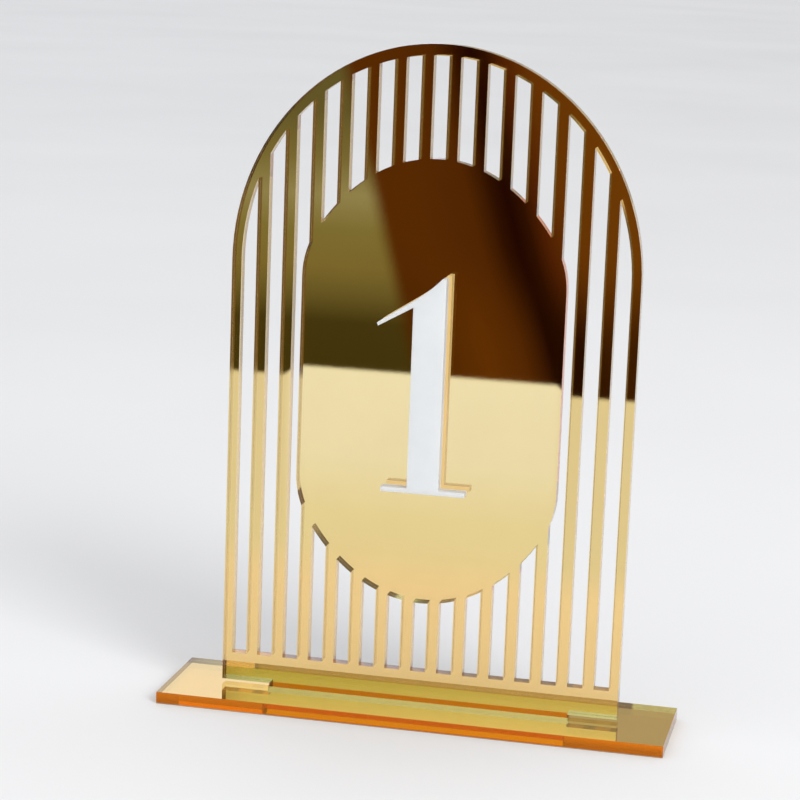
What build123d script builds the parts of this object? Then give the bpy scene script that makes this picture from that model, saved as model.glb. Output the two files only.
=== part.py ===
"""Free-standing arch sign for a table number.

A slotted arch panel in gold mirror acrylic plugs into a slotted base plate of the same sheet.
Its tab passes through the base and stands on the table, so its shoulders stay just clear of the base.
A raised white numeral is glued to the medallion in the middle of the panel.

Axes: +X to the viewer's right, -Y towards the viewer, +Z up. Origin: middle of the base, on the table.
All sizes are in millimetres. Heights on the panel are measured from the top of the base plate.
"""
import os
from build123d import *

# Mirror acrylic sheet: clear amber acrylic with a metallised film and a paint coat on its back.
acrylic_thickness = 2.85
mirror_film_thickness = 0.05
back_paint_thickness = 0.10
sheet_thickness = acrylic_thickness + mirror_film_thickness + back_paint_thickness

# Arch panel. The top is half of an ellipse as wide as the panel, and rises from the spring line.
panel_width = 102.0
panel_height = 165.0
arch_rise = 55.4
spring_height = panel_height - arch_rise
side_rim_width = 2.4
arch_rim_width = 2.8
rail_height = 8.0
slot_count = 15
slot_width = 3.8
inner_width = panel_width - 2 * side_rim_width
inner_rise = arch_rise - arch_rim_width
bar_width = (inner_width - slot_count * slot_width) / (slot_count - 1)
slot_pitch = slot_width + bar_width

# Medallion: an oval whose sides are cut straight, so that the slots beside it stay open.
# The straight cuts blend into the oval in long gentle curves.
medallion_oval_width = 79.0
medallion_oval_height = 111.5
medallion_straight_width = 66.0
medallion_blend_radius = 22.0
medallion_centre_height = 81.6

# Tab under the panel. It stands on the table and holds the panel's shoulders up off the base.
tab_width = 77.0
shoulder_gap = 0.8

# Base plate, with a slot that the tab drops into.
base_length = 128.5
base_depth = 30.5
tab_face_clearance = 0.1
tab_end_clearance = 0.3

# Numeral, cut from white acrylic and centred on the medallion.
numeral_thickness = 3.0
adhesive_thickness = 0.1
numeral_height = 54.0
stem_width = 8.0
stem_top_width = 1.0
serif_width = 21.2
serif_thickness = 1.2

# Flag of the numeral. Distances run left from the stem's centre line and down from the numeral's top.
flag_reach = 13.0
flag_drop = 11.8
flag_tip_thickness = 0.7
flag_root_drop = 7.5
flag_bend_reach = 9.0
flag_bend_drop = 9.1
flag_hollow_reach = 3.8
flag_hollow_drop = 5.7

panel_front = -sheet_thickness / 2


def arch_region(width, rise, bottom):
    """A straight-sided region whose top is half of an ellipse above the panel's spring line."""
    sides_height = spring_height - bottom
    sides = Pos(0, bottom + sides_height / 2) * Rectangle(width, sides_height)
    return sides + Pos(0, spring_height) * Ellipse(width / 2, rise)


def medallion_region():
    oval = Ellipse(medallion_oval_width / 2, medallion_oval_height / 2)
    straight_sides = Rectangle(medallion_straight_width, medallion_oval_height)
    outline = oval & straight_sides
    blended = fillet(outline.vertices(), medallion_blend_radius)
    return Pos(0, medallion_centre_height) * blended


def slots_region():
    """Evenly spaced slots that stop at the rim, at the bottom rail and at the medallion."""
    opening = arch_region(inner_width, inner_rise, rail_height) - medallion_region()
    first_slot = -slot_pitch * (slot_count - 1) / 2
    slots = Sketch()
    for index in range(slot_count):
        slot = Rectangle(slot_width, panel_height)
        slots += Pos(first_slot + index * slot_pitch, panel_height / 2) * slot
    return slots & opening


def panel_region():
    tab_length = sheet_thickness + shoulder_gap
    tab = Pos(0, shoulder_gap - tab_length / 2) * Rectangle(tab_width, tab_length)
    return arch_region(panel_width, arch_rise, shoulder_gap) + tab - slots_region()


def base_region():
    slot_length = tab_width + 2 * tab_end_clearance
    slot_depth = sheet_thickness + 2 * tab_face_clearance
    return Rectangle(base_length, base_depth) - Rectangle(slot_length, slot_depth)


def numeral_region():
    """A serifed figure one: foot serif, stem, and a flag that curves down to a thin tip."""
    right = stem_width / 2
    foot = serif_width / 2
    top = numeral_height
    flag_start = (right - stem_top_width, top)
    flag_tip = (-flag_reach, top - flag_drop)
    flag_underside = (-flag_reach + flag_tip_thickness / 2, top - flag_drop - flag_tip_thickness)
    flag_edge = Spline(
        flag_start,
        (-flag_hollow_reach, top - flag_hollow_drop),
        (-flag_bend_reach, top - flag_bend_drop),
        flag_tip,
    )
    stem_edge = Polyline(
        flag_underside,
        (-right, top - flag_root_drop),
        (-right, serif_thickness),
        (-foot, serif_thickness),
        (-foot, 0),
        (foot, 0),
        (foot, serif_thickness),
        (right, serif_thickness),
        (right, top),
        flag_start,
    )
    outline = flag_edge + Line(flag_tip, flag_underside) + stem_edge
    return Pos(0, medallion_centre_height - numeral_height / 2) * make_face(outline)


def upright(region, front, thickness):
    """A flat piece that stands on edge, from its front face at the given Y towards the back."""
    front_face = Plane((0, front, sheet_thickness), x_dir=(1, 0, 0), z_dir=(0, -1, 0))
    return extrude(front_face * region, -thickness)


def lying(region, bottom, thickness):
    """A flat piece that lies level, with its underside at the given height."""
    return extrude(Pos(0, 0, bottom) * region, thickness)


def make_nodes():
    panel = panel_region()
    film_front = panel_front + acrylic_thickness
    paint_front = film_front + mirror_film_thickness
    base = base_region()
    base_film_bottom = back_paint_thickness
    base_plate_bottom = base_film_bottom + mirror_film_thickness
    numeral = numeral_region()
    adhesive_front = panel_front - adhesive_thickness
    numeral_front = adhesive_front - numeral_thickness
    return {
        "arch_panel": upright(panel, panel_front, acrylic_thickness),
        "arch_mirror_film": upright(panel, film_front, mirror_film_thickness),
        "arch_back_paint": upright(panel, paint_front, back_paint_thickness),
        "base_plate": lying(base, base_plate_bottom, acrylic_thickness),
        "base_mirror_film": lying(base, base_film_bottom, mirror_film_thickness),
        "base_back_paint": lying(base, 0, back_paint_thickness),
        "numeral_one": upright(numeral, numeral_front, numeral_thickness),
        "numeral_adhesive": upright(numeral, adhesive_front, adhesive_thickness),
    }


os.makedirs("parts", exist_ok=True)
for name, shape in make_nodes().items():
    export_step(shape, f"parts/{name}.step")
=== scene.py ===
"""Free-standing arch sign for a table number, in gold mirror acrylic with a white numeral.

Metres throughout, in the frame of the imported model: +X to the viewer's right, -Y towards the viewer, +Z up.
"""

import math

import bmesh
import bpy
from mathutils import Matrix, Vector


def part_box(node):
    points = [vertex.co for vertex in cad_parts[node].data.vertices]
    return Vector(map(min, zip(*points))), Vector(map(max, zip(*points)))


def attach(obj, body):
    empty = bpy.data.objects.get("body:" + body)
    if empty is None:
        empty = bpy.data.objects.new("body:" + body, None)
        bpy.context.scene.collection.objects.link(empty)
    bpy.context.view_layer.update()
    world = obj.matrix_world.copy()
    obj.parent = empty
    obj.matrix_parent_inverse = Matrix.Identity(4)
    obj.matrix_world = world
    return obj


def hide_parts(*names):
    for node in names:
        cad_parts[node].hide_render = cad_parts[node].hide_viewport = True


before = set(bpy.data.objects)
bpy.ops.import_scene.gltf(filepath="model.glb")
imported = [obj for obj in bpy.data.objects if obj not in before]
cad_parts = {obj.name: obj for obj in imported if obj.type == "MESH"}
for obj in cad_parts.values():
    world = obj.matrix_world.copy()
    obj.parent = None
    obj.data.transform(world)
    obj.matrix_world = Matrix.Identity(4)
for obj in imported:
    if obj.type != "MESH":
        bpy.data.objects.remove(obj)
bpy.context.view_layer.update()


# Arch panel, the clear part of the 3 mm mirror sheet: cast acrylic tinted amber right through, cut by laser.
# The broad face keeps the maker's polish. The cut walls are a little frosted, with faint draw lines
# across the sheet where the beam passed.
amber_tint = (0.980, 0.840, 0.005, 1)
amber_tint_density = 190.0
acrylic_ior = 1.49
clear = (1, 1, 1, 1)
# The part of a unit normal that lies along the sheet's axis: above the first on a broad face,
# and below the second on a cut wall.
face_limit, wall_limit = 0.9, 0.5
draw_line_stretch = 0.06


def add(nodes, kind, **values):
    """A shader node with its sockets or settings filled in by name."""
    node = nodes.new(kind)
    for name, value in values.items():
        label = name.replace("_", " ")
        socket = node.inputs.get(label) or node.inputs.get(label.title())
        if socket is not None:
            socket.default_value = value
        else:
            setattr(node, name, value)
    return node


def feed(links, socket, value):
    """Joins a socket to another one, or fills it with a plain value."""
    if isinstance(value, bpy.types.NodeSocket):
        links.new(value, socket)
    else:
        socket.default_value = value


def bare_material(name):
    material = bpy.data.materials.new(name)
    material.use_nodes = True
    material.node_tree.nodes.clear()
    return material, material.node_tree.nodes, material.node_tree.links


def mix_colours(nodes, links, share, first, second):
    """The first colour where share is 0 and the second where it is 1. Each may be a socket or a value."""
    blend = add(nodes, "ShaderNodeMix", data_type="RGBA")
    feed(links, blend.inputs[0], share)
    feed(links, blend.inputs[6], first)
    feed(links, blend.inputs[7], second)
    return blend.outputs[2]


def mix_numbers(nodes, links, share, first, second):
    """The same for two plain numbers."""
    blend = add(nodes, "ShaderNodeMix", data_type="FLOAT")
    feed(links, blend.inputs[0], share)
    feed(links, blend.inputs[2], first)
    feed(links, blend.inputs[3], second)
    return blend.outputs[0]


def noise(nodes, links, place, **settings):
    """A cloudy value between 0 and 1 that varies from spot to spot."""
    texture = add(nodes, "ShaderNodeTexNoise", **settings)
    links.new(place, texture.inputs["Vector"])
    return texture.outputs["Fac"]


def spread(nodes, links, value, low, high):
    """A value between 0 and 1, stretched to lie between low and high."""
    stretch = add(nodes, "ShaderNodeMapRange", To_Min=low, To_Max=high)
    links.new(value, stretch.inputs["Value"])
    return stretch.outputs[0]


def emboss(nodes, links, surface, height, strength, depth):
    """Fine relief that shows in how the surface catches the light."""
    bump = add(nodes, "ShaderNodeBump", Strength=strength, Distance=depth)
    links.new(height, bump.inputs["Height"])
    links.new(bump.outputs[0], surface.inputs["Normal"])


def amber_acrylic(name, sheet_axis, wall_frost, frost_colour, sheen_tint=clear):
    """Clear amber sheet; sheet_axis is 1 for a sheet on edge and 2 for one that lies flat.

    wall_frost is the share of light that the cut walls scatter instead of letting it through."""
    material, nodes, links = bare_material(name)
    output = add(nodes, "ShaderNodeOutputMaterial")
    surface = add(nodes, "ShaderNodeBsdfPrincipled", IOR=acrylic_ior, Specular_Tint=sheen_tint)
    inside = add(nodes, "ShaderNodeVolumeAbsorption", Color=amber_tint, Density=amber_tint_density)
    place = add(nodes, "ShaderNodeTexCoord")

    # How far a spot is a cut wall: 0 on the broad faces, 1 on the walls.
    facing = add(nodes, "ShaderNodeSeparateXYZ")
    links.new(place.outputs["Normal"], facing.inputs[0])
    squareness = add(nodes, "ShaderNodeMath", operation="ABSOLUTE")
    links.new(facing.outputs[sheet_axis], squareness.inputs[0])
    edge_on = add(nodes, "ShaderNodeMapRange", clamp=True, From_Min=face_limit, From_Max=wall_limit)
    links.new(squareness.outputs[0], edge_on.inputs["Value"])
    wall = edge_on.outputs[0]

    links.new(spread(nodes, links, wall, 1.0, 1.0 - wall_frost), surface.inputs["Transmission Weight"])
    links.new(mix_colours(nodes, links, wall, clear, frost_colour), surface.inputs["Base Color"])

    # Fine handling marks on the faces, and draw lines about 0.3 mm apart along the walls.
    marks = noise(nodes, links, place.outputs["Object"], Scale=900.0, Detail=4.0, Roughness=0.6)
    stretch = [1.0, 1.0, 1.0]
    stretch[sheet_axis] = draw_line_stretch
    drawn = add(nodes, "ShaderNodeMapping", Scale=stretch)
    links.new(place.outputs["Object"], drawn.inputs["Vector"])
    draw_lines = noise(nodes, links, drawn.outputs[0], Scale=3000.0, Detail=2.0)
    face_polish = spread(nodes, links, marks, 0.0, 0.02)
    wall_polish = spread(nodes, links, draw_lines, 0.02, 0.12)
    links.new(mix_numbers(nodes, links, wall, face_polish, wall_polish), surface.inputs["Roughness"])
    grain = mix_numbers(nodes, links, wall, marks, draw_lines)
    emboss(nodes, links, surface, grain, strength=0.05, depth=0.00002)

    links.new(surface.outputs[0], output.inputs["Surface"])
    links.new(inside.outputs[0], output.inputs["Volume"])
    return material


arch_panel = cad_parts["arch_panel"]
arch_panel.material_slots[0].material = amber_acrylic(
    "amber_acrylic_upright", 1, wall_frost=0.20, frost_colour=(1.0, 0.86, 0.58, 1))


# Mirror coat on the back of the panel: faintly warm metal, vacuum-deposited on the acrylic and bonded to it.
# The heat of the cut draws it back from every edge by a hair. Its front is pressed a hundredth of a
# millimetre into the acrylic, so that the two meet with no air between them.
coat_dull = (0.935, 0.768, 0.780, 1)
coat_bright = (0.955, 0.790, 0.800, 1)
mirror_draw_back = 0.00004
mirror_bond_depth = 0.00001
# Share of the film's thickness that the coat takes up. The rest keeps it off the lacquer behind it.
coat_share = 0.96
weld_distance = 0.0000001


def two_tones(nodes, links, value, low_tone, high_tone, low_end=0.3, high_end=0.7):
    """The low tone up to one value, the high tone from another, and an even change between them."""
    ramp = add(nodes, "ShaderNodeValToRGB")
    low, high = ramp.color_ramp.elements
    low.position = low_end
    low.color = low_tone
    high.position = high_end
    high.color = high_tone
    links.new(value, ramp.inputs["Fac"])
    return ramp.outputs["Color"]


def solid_material(name, **settings):
    """A material that is all surface, and the place on the piece for its textures to follow."""
    material, nodes, links = bare_material(name)
    output = add(nodes, "ShaderNodeOutputMaterial")
    surface = add(nodes, "ShaderNodeBsdfPrincipled", **settings)
    links.new(surface.outputs[0], output.inputs["Surface"])
    place = add(nodes, "ShaderNodeTexCoord")
    return material, nodes, links, surface, place.outputs["Object"]


def mirror_metal(name):
    material, nodes, links, surface, place = solid_material(name, Metallic=1.0)
    haze = noise(nodes, links, place, Scale=60.0, Detail=5.0, Roughness=0.65)
    tone = two_tones(nodes, links, haze, coat_dull, coat_bright, low_end=0.35, high_end=0.65)
    links.new(tone, surface.inputs["Base Color"])
    links.new(spread(nodes, links, haze, 0.004, 0.02), surface.inputs["Roughness"])
    ripple = noise(nodes, links, place, Scale=25.0, Detail=1.0)
    emboss(nodes, links, surface, ripple, strength=0.1, depth=0.00002)
    return material


def mirror_coat(node, name, towards_acrylic, body):
    """The coat as a thin solid: the film's outline drawn in by a hair, pressed into the acrylic."""
    towards = Vector(towards_acrylic)
    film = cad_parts[node]
    mesh = bmesh.new()
    mesh.from_mesh(film.data)
    bmesh.ops.remove_doubles(mesh, verts=mesh.verts, dist=weld_distance)
    mesh.normal_update()
    lower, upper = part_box(node)
    thickness = abs((upper - lower).dot(towards))
    others = [face for face in mesh.faces if face.normal.dot(towards) < face_limit]
    bmesh.ops.delete(mesh, geom=others, context="FACES")
    rim = bmesh.ops.inset_region(
        mesh, faces=mesh.faces[:], thickness=mirror_draw_back, use_boundary=True, use_even_offset=True)
    bmesh.ops.delete(mesh, geom=rim["faces"], context="FACES")
    grown = bmesh.ops.extrude_face_region(mesh, geom=mesh.faces[:])["geom"]
    front = [part for part in grown if isinstance(part, bmesh.types.BMVert)]
    bmesh.ops.translate(mesh, verts=front, vec=towards * mirror_bond_depth)
    back = [vertex for vertex in mesh.verts if vertex not in set(front)]
    bmesh.ops.translate(mesh, verts=back, vec=-towards * thickness * coat_share)
    bmesh.ops.recalc_face_normals(mesh, faces=mesh.faces)
    data = bpy.data.meshes.new(name)
    mesh.to_mesh(data)
    mesh.free()
    coat = bpy.data.objects.new(name, data)
    bpy.context.scene.collection.objects.link(coat)
    data.materials.append(mirror_metal(name + "_metal"))
    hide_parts(node)
    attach(coat, body)


mirror_coat("arch_mirror_film", "arch_mirror_coat", (0, -1, 0), "panel")


# Paint on the back of the panel: grey protective lacquer, rolled over the mirror coat by the sheet's maker.
# It is matt and a little mottled.
lacquer_dark = (0.150, 0.147, 0.140, 1)
lacquer_pale = (0.200, 0.195, 0.185, 1)


def back_paint(name):
    material, nodes, links, surface, place = solid_material(name)
    mottle = noise(nodes, links, place, Scale=180.0, Detail=6.0, Roughness=0.6)
    links.new(two_tones(nodes, links, mottle, lacquer_dark, lacquer_pale), surface.inputs["Base Color"])
    links.new(spread(nodes, links, mottle, 0.45, 0.65), surface.inputs["Roughness"])
    orange_peel = noise(nodes, links, place, Scale=1800.0, Detail=2.0)
    emboss(nodes, links, surface, orange_peel, strength=0.25, depth=0.00003)
    return material


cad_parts["arch_back_paint"].material_slots[0].material = back_paint("arch_back_lacquer")


# Numeral: a plain serif figure, cut by laser from white acrylic sheet with a satin face.
# Its edges are left as the laser cut them, and it is glued to the front of the medallion.
white_shade = (0.67, 0.69, 0.70, 1)
white_high = (0.70, 0.72, 0.73, 1)
all_colours_alike = (1.0, 1.0, 1.0)
glow_depth = 0.004


def white_acrylic(name):
    material, nodes, links, surface, place = solid_material(
        name, IOR=acrylic_ior, Subsurface_Weight=0.6, Subsurface_Radius=all_colours_alike,
        Subsurface_Scale=glow_depth)
    cloud = noise(nodes, links, place, Scale=120.0, Detail=5.0)
    links.new(two_tones(nodes, links, cloud, white_shade, white_high), surface.inputs["Base Color"])
    links.new(spread(nodes, links, cloud, 0.28, 0.42), surface.inputs["Roughness"])
    grain = noise(nodes, links, place, Scale=4000.0, Detail=1.0)
    emboss(nodes, links, surface, grain, strength=0.08, depth=0.00002)
    return material


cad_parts["numeral_one"].material_slots[0].material = white_acrylic("white_satin_acrylic")


# Adhesive film between the numeral and the panel: a milky double-sided sheet cut with the numeral.
# Its faint glow stands in for the light that the white numeral lets through, seen behind it in the mirror.
# It is pressed a hundredth of a millimetre into the panel, so that no air is left between them.
milk_shade = (0.88, 0.86, 0.80, 1)
milk_high = (0.94, 0.92, 0.87, 1)
glow_share = 0.45
adhesive_press = 0.00001
plane_margin = 0.000001


def adhesive(name):
    material, nodes, links, surface, place = solid_material(
        name, Subsurface_Weight=0.8, Subsurface_Radius=all_colours_alike, Subsurface_Scale=glow_depth,
        Emission_Strength=glow_share)
    flow = noise(nodes, links, place, Scale=700.0, Detail=3.0)
    tone = two_tones(nodes, links, flow, milk_shade, milk_high, low_end=0.0, high_end=1.0)
    links.new(tone, surface.inputs["Base Color"])
    links.new(spread(nodes, links, flow, 0.5, 0.7), surface.inputs["Roughness"])
    emboss(nodes, links, surface, flow, strength=0.2, depth=0.00003)
    return material


def adhesive_sheet(node, name, body):
    """The sheet as it sits once rolled down: its back is pressed into the acrylic by a hair."""
    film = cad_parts[node]
    data = film.data.copy()
    data.name = name
    back = max(vertex.co.y for vertex in data.vertices)
    for vertex in data.vertices:
        if vertex.co.y > back - plane_margin:
            vertex.co.y += adhesive_press
    sheet = bpy.data.objects.new(name, data)
    bpy.context.scene.collection.objects.link(sheet)
    data.materials.clear()
    data.materials.append(adhesive("milky_adhesive"))
    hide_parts(node)
    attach(sheet, body)


adhesive_sheet("numeral_adhesive", "numeral_adhesive_sheet", "panel")


# Base: a plate of the same mirror sheet, laid flat with its coat and lacquer underneath.
# A slot cut by laser takes the panel's tab, and nothing else holds the two together.
# Its sheen is tinted amber, more than a clear sheet's would be, to keep the cut edges orange.
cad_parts["base_plate"].material_slots[0].material = amber_acrylic(
    "amber_acrylic_flat", 2, wall_frost=0.10, frost_colour=(1.0, 0.50, 0.02, 1),
    sheen_tint=(1.0, 0.75, 0.30, 1))
mirror_coat("base_mirror_film", "base_mirror_coat", (0, 0, 1), "base")
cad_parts["base_back_paint"].material_slots[0].material = back_paint("base_back_lacquer")


# Table: a pale, matt, faintly clouded top under and behind the sign.
# It lies two hundredths of a millimetre below the sign, so that the two never share a plane.
table_shade = (0.80, 0.80, 0.81, 1)
table_high = (0.84, 0.84, 0.85, 1)
table_reach = 8
table_drop = 0.00002


def table_top():
    material, nodes, links, surface, place = solid_material(
        "pale_table", Roughness=0.7, Specular_IOR_Level=0.2)
    cloud = noise(nodes, links, place, Scale=3.0, Detail=4.0)
    links.new(two_tones(nodes, links, cloud, table_shade, table_high), surface.inputs["Base Color"])
    return material


def level_sheet(name, left, right, front, back, height):
    data = bpy.data.meshes.new(name)
    corners = [(left, front, height), (right, front, height), (right, back, height), (left, back, height)]
    data.from_pydata(corners, [], [(0, 1, 2, 3)])
    sheet = bpy.data.objects.new(name, data)
    bpy.context.scene.collection.objects.link(sheet)
    return sheet


table = level_sheet("table", -table_reach, table_reach, -table_reach, table_reach, -table_drop)
table.data.materials.append(table_top())


# Painted reflection of what the mirror looks down on: the pale front of the table, then a dark floor past its
# edge with an olive patch on the left and a painted shadow across the brown. A glowing card just above the
# table, seen only in reflections and through the acrylic. It is laid out along lines from the mirrored eye,
# by "column" and "slope".
# The mirrored eye is the camera's own place, mirrored in the panel: the layout is true from there only.
mirrored_eye = Vector((0.120, 0.594, 0.204))
card_half_width = 6
card_front, card_back = -7.5, -0.10
card_height = 0.0005
# Each border is the pair of values between which one tone gives way to the next.
slant_pivot = 0.16
shadow_slant = 0.306
near_floor_border = (0.14, 0.185)
olive_slant = 0.274
olive_border = (0.2145, 0.2235)
right_tan = (0.17, 0.12, 0.05, 1)
right_tan_border = (0.10, 0.07)
far_tan = (0.36, 0.27, 0.17, 1)
far_tan_border = (0.060, 0.045)
middle_right_border = (0.143, 0.150)
middle_left_border = (0.266, 0.259)
side_front = (0.80, 0.87, 0.905, 1)
# The table's edge is a step lower on the slope scale across the middle columns.
slope_of_edge = 0.2024
slope_step = 0.0044
table_edge_border = (-0.0012, 0.0012)
card_end_border = (0.272, 0.292)


def maths(nodes, links, operation, first, second=0.0):
    node = add(nodes, "ShaderNodeMath", operation=operation)
    feed(links, node.inputs[0], first)
    feed(links, node.inputs[1], second)
    return node.outputs[0]


def fade(nodes, links, value, border):
    """Rises softly from 0 at the border's first value to 1 at its second."""
    start, end = border
    rise = add(nodes, "ShaderNodeMapRange", clamp=True, From_Min=start, From_Max=end)
    rise.interpolation_type = "SMOOTHSTEP"
    links.new(value, rise.inputs["Value"])
    return rise.outputs[0]


def tones(nodes, links, value, stops):
    """A colour that follows a value. Each stop is the value and the red, green and blue there."""
    first, last = stops[0][0], stops[-1][0]
    reach = add(nodes, "ShaderNodeMapRange", clamp=True, From_Min=first, From_Max=last)
    links.new(value, reach.inputs["Value"])
    ramp = add(nodes, "ShaderNodeValToRGB")
    elements = ramp.color_ramp.elements
    while len(elements) < len(stops):
        elements.new(0.5)
    for index, stop in enumerate(stops):
        elements[index].position = (stop[0] - first) / (last - first)
    for element, stop in zip(elements, stops):
        element.color = (*stop[1:], 1)
    links.new(reach.outputs[0], ramp.inputs["Fac"])
    return ramp.outputs["Color"]


def painted_reflection_room():
    material, nodes, links = bare_material("painted_reflection_room")
    output = add(nodes, "ShaderNodeOutputMaterial")
    place = add(nodes, "ShaderNodeTexCoord")
    spot = add(nodes, "ShaderNodeSeparateXYZ")
    links.new(place.outputs["Object"], spot.inputs[0])
    depth = maths(nodes, links, "SUBTRACT", mirrored_eye.y, spot.outputs[1])
    aside = maths(nodes, links, "SUBTRACT", mirrored_eye.x, spot.outputs[0])
    column = maths(nodes, links, "DIVIDE", aside, depth)
    slope = maths(nodes, links, "DIVIDE", mirrored_eye.z, depth)
    slope_offset = maths(nodes, links, "SUBTRACT", slope, slant_pivot)

    # Painted reflection of the brown floor, with a near-black painted shadow that slants across it.
    shadow_shift = maths(nodes, links, "MULTIPLY", slope_offset, shadow_slant)
    shadow_line = maths(nodes, links, "ADD", column, shadow_shift)
    far_brown = tones(nodes, links, shadow_line, [
        (0.112, 0.159, 0.063, 0.006), (0.138, 0.140, 0.050, 0.005), (0.149, 0.085, 0.022, 0.004),
        (0.156, 0.030, 0.008, 0.001), (0.162, 0.015, 0.003, 0.001), (0.168, 0.030, 0.008, 0.001),
        (0.178, 0.085, 0.028, 0.003), (0.200, 0.100, 0.034, 0.003)])
    near_brown = tones(nodes, links, shadow_line, [
        (0.110, 0.050, 0.018, 0.002), (0.135, 0.046, 0.016, 0.002), (0.147, 0.020, 0.006, 0.001),
        (0.160, 0.016, 0.004, 0.001), (0.172, 0.090, 0.030, 0.003), (0.188, 0.125, 0.043, 0.003),
        (0.210, 0.080, 0.030, 0.003)])
    brown = mix_colours(nodes, links, fade(nodes, links, slope, near_floor_border), far_brown, near_brown)

    # Painted reflection of an olive patch on the left, brightest in its upper part.
    olive = tones(nodes, links, slope, [
        (0.090, 0.130, 0.135, 0.070), (0.110, 0.200, 0.205, 0.105), (0.125, 0.300, 0.330, 0.240),
        (0.140, 0.220, 0.225, 0.100), (0.155, 0.210, 0.200, 0.085), (0.167, 0.140, 0.135, 0.055),
        (0.178, 0.062, 0.055, 0.015), (0.200, 0.057, 0.050, 0.012)])
    olive_shift = maths(nodes, links, "MULTIPLY", slope_offset, olive_slant)
    olive_line = maths(nodes, links, "ADD", column, olive_shift)
    floor_tone = mix_colours(nodes, links, fade(nodes, links, olive_line, olive_border), brown, olive)

    # Painted reflection: tan at the right and far away.
    to_the_right = fade(nodes, links, column, right_tan_border)
    floor_tone = mix_colours(nodes, links, to_the_right, floor_tone, right_tan)
    far_away = fade(nodes, links, slope, far_tan_border)
    floor_tone = mix_colours(nodes, links, far_away, floor_tone, far_tan)

    # Painted reflection of the pale table front, with a painted highlight: coolest and brightest in the
    # middle columns.
    middle = maths(nodes, links, "MULTIPLY",
                   fade(nodes, links, column, middle_right_border),
                   fade(nodes, links, column, middle_left_border))
    bright_front = tones(nodes, links, slope, [
        (0.198, 0.930, 1.110, 1.450), (0.235, 0.900, 1.060, 1.350), (0.260, 0.850, 0.960, 1.000),
        (0.290, 0.840, 0.900, 0.920)])
    table_front = mix_colours(nodes, links, middle, side_front, bright_front)
    step = maths(nodes, links, "MULTIPLY", middle, slope_step)
    edge_slope = maths(nodes, links, "SUBTRACT", slope_of_edge, step)
    past_edge = maths(nodes, links, "SUBTRACT", slope, edge_slope)
    on_table = fade(nodes, links, past_edge, table_edge_border)
    tone = mix_colours(nodes, links, on_table, floor_tone, table_front)

    # The card glows with this painted reflection, though it is no lamp.
    glow = add(nodes, "ShaderNodeEmission", Strength=1.0)
    links.new(tone, glow.inputs["Color"])
    see_through = add(nodes, "ShaderNodeBsdfTransparent")
    near_end = add(nodes, "ShaderNodeMixShader")
    links.new(fade(nodes, links, slope, card_end_border), near_end.inputs[0])
    links.new(glow.outputs[0], near_end.inputs[1])
    links.new(see_through.outputs[0], near_end.inputs[2])
    links.new(near_end.outputs[0], output.inputs["Surface"])
    return material


card = level_sheet(
    "painted_reflection_card", -card_half_width, card_half_width, card_front, card_back, card_height)
card.data.materials.append(painted_reflection_room())
card.visible_camera = False
card.visible_diffuse = False
card.visible_shadow = False


# Light: a white room for everything lit or looked at. In reflections the room in front is pale, with a
# dark band part way up; behind it is cool white on the left and grey-olive on the right. A broad soft
# lamp stands front right. It lights the sign, but neither reflections nor the acrylic show it.
room_white = (0.985, 0.99, 1.0, 1)
room_strength = 0.87
back_left_tone = (1.00, 1.07, 1.25, 1)
back_right_tone = (0.46, 0.45, 0.37, 1)
# Borders in the reflected room: by lean, which is how far a ray runs sideways for each metre back or forth,
# then by how far it points forwards, and by how far it points up.
back_border = (-0.215, -0.165)
bright_left_border = (-0.32, -0.27)
bright_right_border = (-0.04, -0.08)
front_border = (0.05, -0.05)
ceiling_border = (0.40, 0.75)

world = bpy.data.worlds.new("studio")
bpy.context.scene.world = world
world.use_nodes = True
sky, sky_links = world.node_tree.nodes, world.node_tree.links
sky.clear()
sky_output = add(sky, "ShaderNodeOutputWorld")
heading = add(sky, "ShaderNodeTexCoord")
towards = add(sky, "ShaderNodeSeparateXYZ")
sky_links.new(heading.outputs["Generated"], towards.inputs[0])
sideways, backwards, upwards = towards.outputs
lean = maths(sky, sky_links, "DIVIDE", sideways, maths(sky, sky_links, "ABSOLUTE", backwards))
back_right = fade(sky, sky_links, lean, back_border)
behind = mix_colours(sky, sky_links, back_right, back_left_tone, back_right_tone)
dark_front = tones(sky, sky_links, upwards, [
    (0.00, 0.85, 0.82, 0.75), (0.10, 0.85, 0.82, 0.75), (0.16, 0.15, 0.13, 0.05), (0.38, 0.15, 0.13, 0.05),
    (0.48, 0.85, 0.90, 0.90)])
bright_front = tones(sky, sky_links, upwards, [
    (0.00, 0.85, 0.82, 0.75), (0.15, 0.85, 0.82, 0.75), (0.22, 0.16, 0.14, 0.05), (0.285, 0.14, 0.13, 0.05),
    (0.305, 0.52, 0.80, 0.48), (0.325, 0.84, 1.12, 1.30), (0.40, 0.85, 0.95, 1.00)])
bright_part = maths(sky, sky_links, "MULTIPLY",
                    fade(sky, sky_links, lean, bright_left_border),
                    fade(sky, sky_links, lean, bright_right_border))
front = mix_colours(sky, sky_links, bright_part, dark_front, bright_front)
in_front = fade(sky, sky_links, backwards, front_border)
walls = mix_colours(sky, sky_links, in_front, behind, front)
overhead = fade(sky, sky_links, upwards, ceiling_border)
reflected = mix_colours(sky, sky_links, overhead, walls, room_white)
rays = add(sky, "ShaderNodeLightPath")
mirrored = maths(sky, sky_links, "MAXIMUM",
                 rays.outputs["Is Glossy Ray"],
                 rays.outputs["Is Transmission Ray"])
room_light = add(sky, "ShaderNodeBackground", Color=room_white, Strength=room_strength)
mirrored_light = add(sky, "ShaderNodeBackground", Strength=1.0)
sky_links.new(reflected, mirrored_light.inputs["Color"])
which = add(sky, "ShaderNodeMixShader")
sky_links.new(mirrored, which.inputs[0])
sky_links.new(room_light.outputs[0], which.inputs[1])
sky_links.new(mirrored_light.outputs[0], which.inputs[2])
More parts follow.
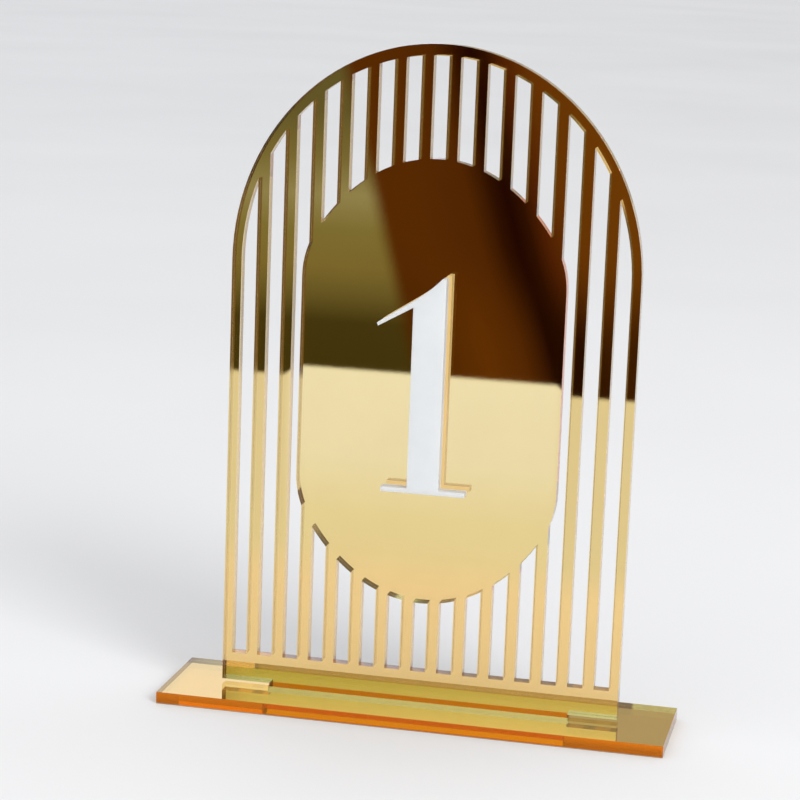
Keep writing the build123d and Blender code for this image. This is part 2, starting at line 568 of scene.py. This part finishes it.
sky_links.new(which.outputs[0], sky_output.inputs["Surface"])

lamp_side = 0.7
lamp_power = 16
lamp_place = Vector((1.1, -1.0, 1.0))
lamp_aim = Vector((0, 0, 0.05))

lamp_data = bpy.data.lights.new("soft_lamp", "AREA")
lamp_data.shape = "RECTANGLE"
lamp_data.size = lamp_side
lamp_data.size_y = lamp_side
lamp_data.energy = lamp_power
lamp = bpy.data.objects.new("soft_lamp", lamp_data)
bpy.context.scene.collection.objects.link(lamp)
lamp.location = lamp_place
lamp.rotation_mode = "QUATERNION"
lamp.rotation_quaternion = (lamp_aim - lamp_place).to_track_quat("-Z", "Y")
lamp.visible_glossy = False
lamp.visible_transmission = False


# Camera: a little above the sign and to its right, tipped slightly, with a long lens.
# Light may pass through the acrylic and off the mirror many times before it is given up.
camera_turn = math.radians(12.139)
camera_height = math.radians(11.549)
camera_roll = math.radians(2.171)
camera_distance = 0.617819
camera_target = Vector((-0.007109, -0.0015, 0.080312))
camera_lens = 112.511
most_bounces = 32

camera_data = bpy.data.cameras.new("camera")
camera_data.sensor_width = 36
camera_data.lens = camera_lens
camera_data.clip_start = 0.05
camera_data.clip_end = 30
camera = bpy.data.objects.new("camera", camera_data)
bpy.context.scene.collection.objects.link(camera)
back = Vector((
    math.sin(camera_turn) * math.cos(camera_height),
    -math.cos(camera_turn) * math.cos(camera_height),
    math.sin(camera_height),
))
right = Vector((math.cos(camera_turn), math.sin(camera_turn), 0))
up = back.cross(right)
rolled_right = right * math.cos(camera_roll) + up * math.sin(camera_roll)
rolled_up = up * math.cos(camera_roll) - right * math.sin(camera_roll)
pose = Matrix((rolled_right, rolled_up, back)).transposed().to_4x4()
pose.translation = camera_target + back * camera_distance
camera.matrix_world = pose
bpy.context.scene.camera = camera

bpy.context.scene.view_settings.view_transform = "Standard"
bpy.context.scene.cycles.max_bounces = most_bounces
bpy.context.scene.cycles.glossy_bounces = most_bounces
bpy.context.scene.cycles.transmission_bounces = most_bounces

bpy.context.view_layer.update()
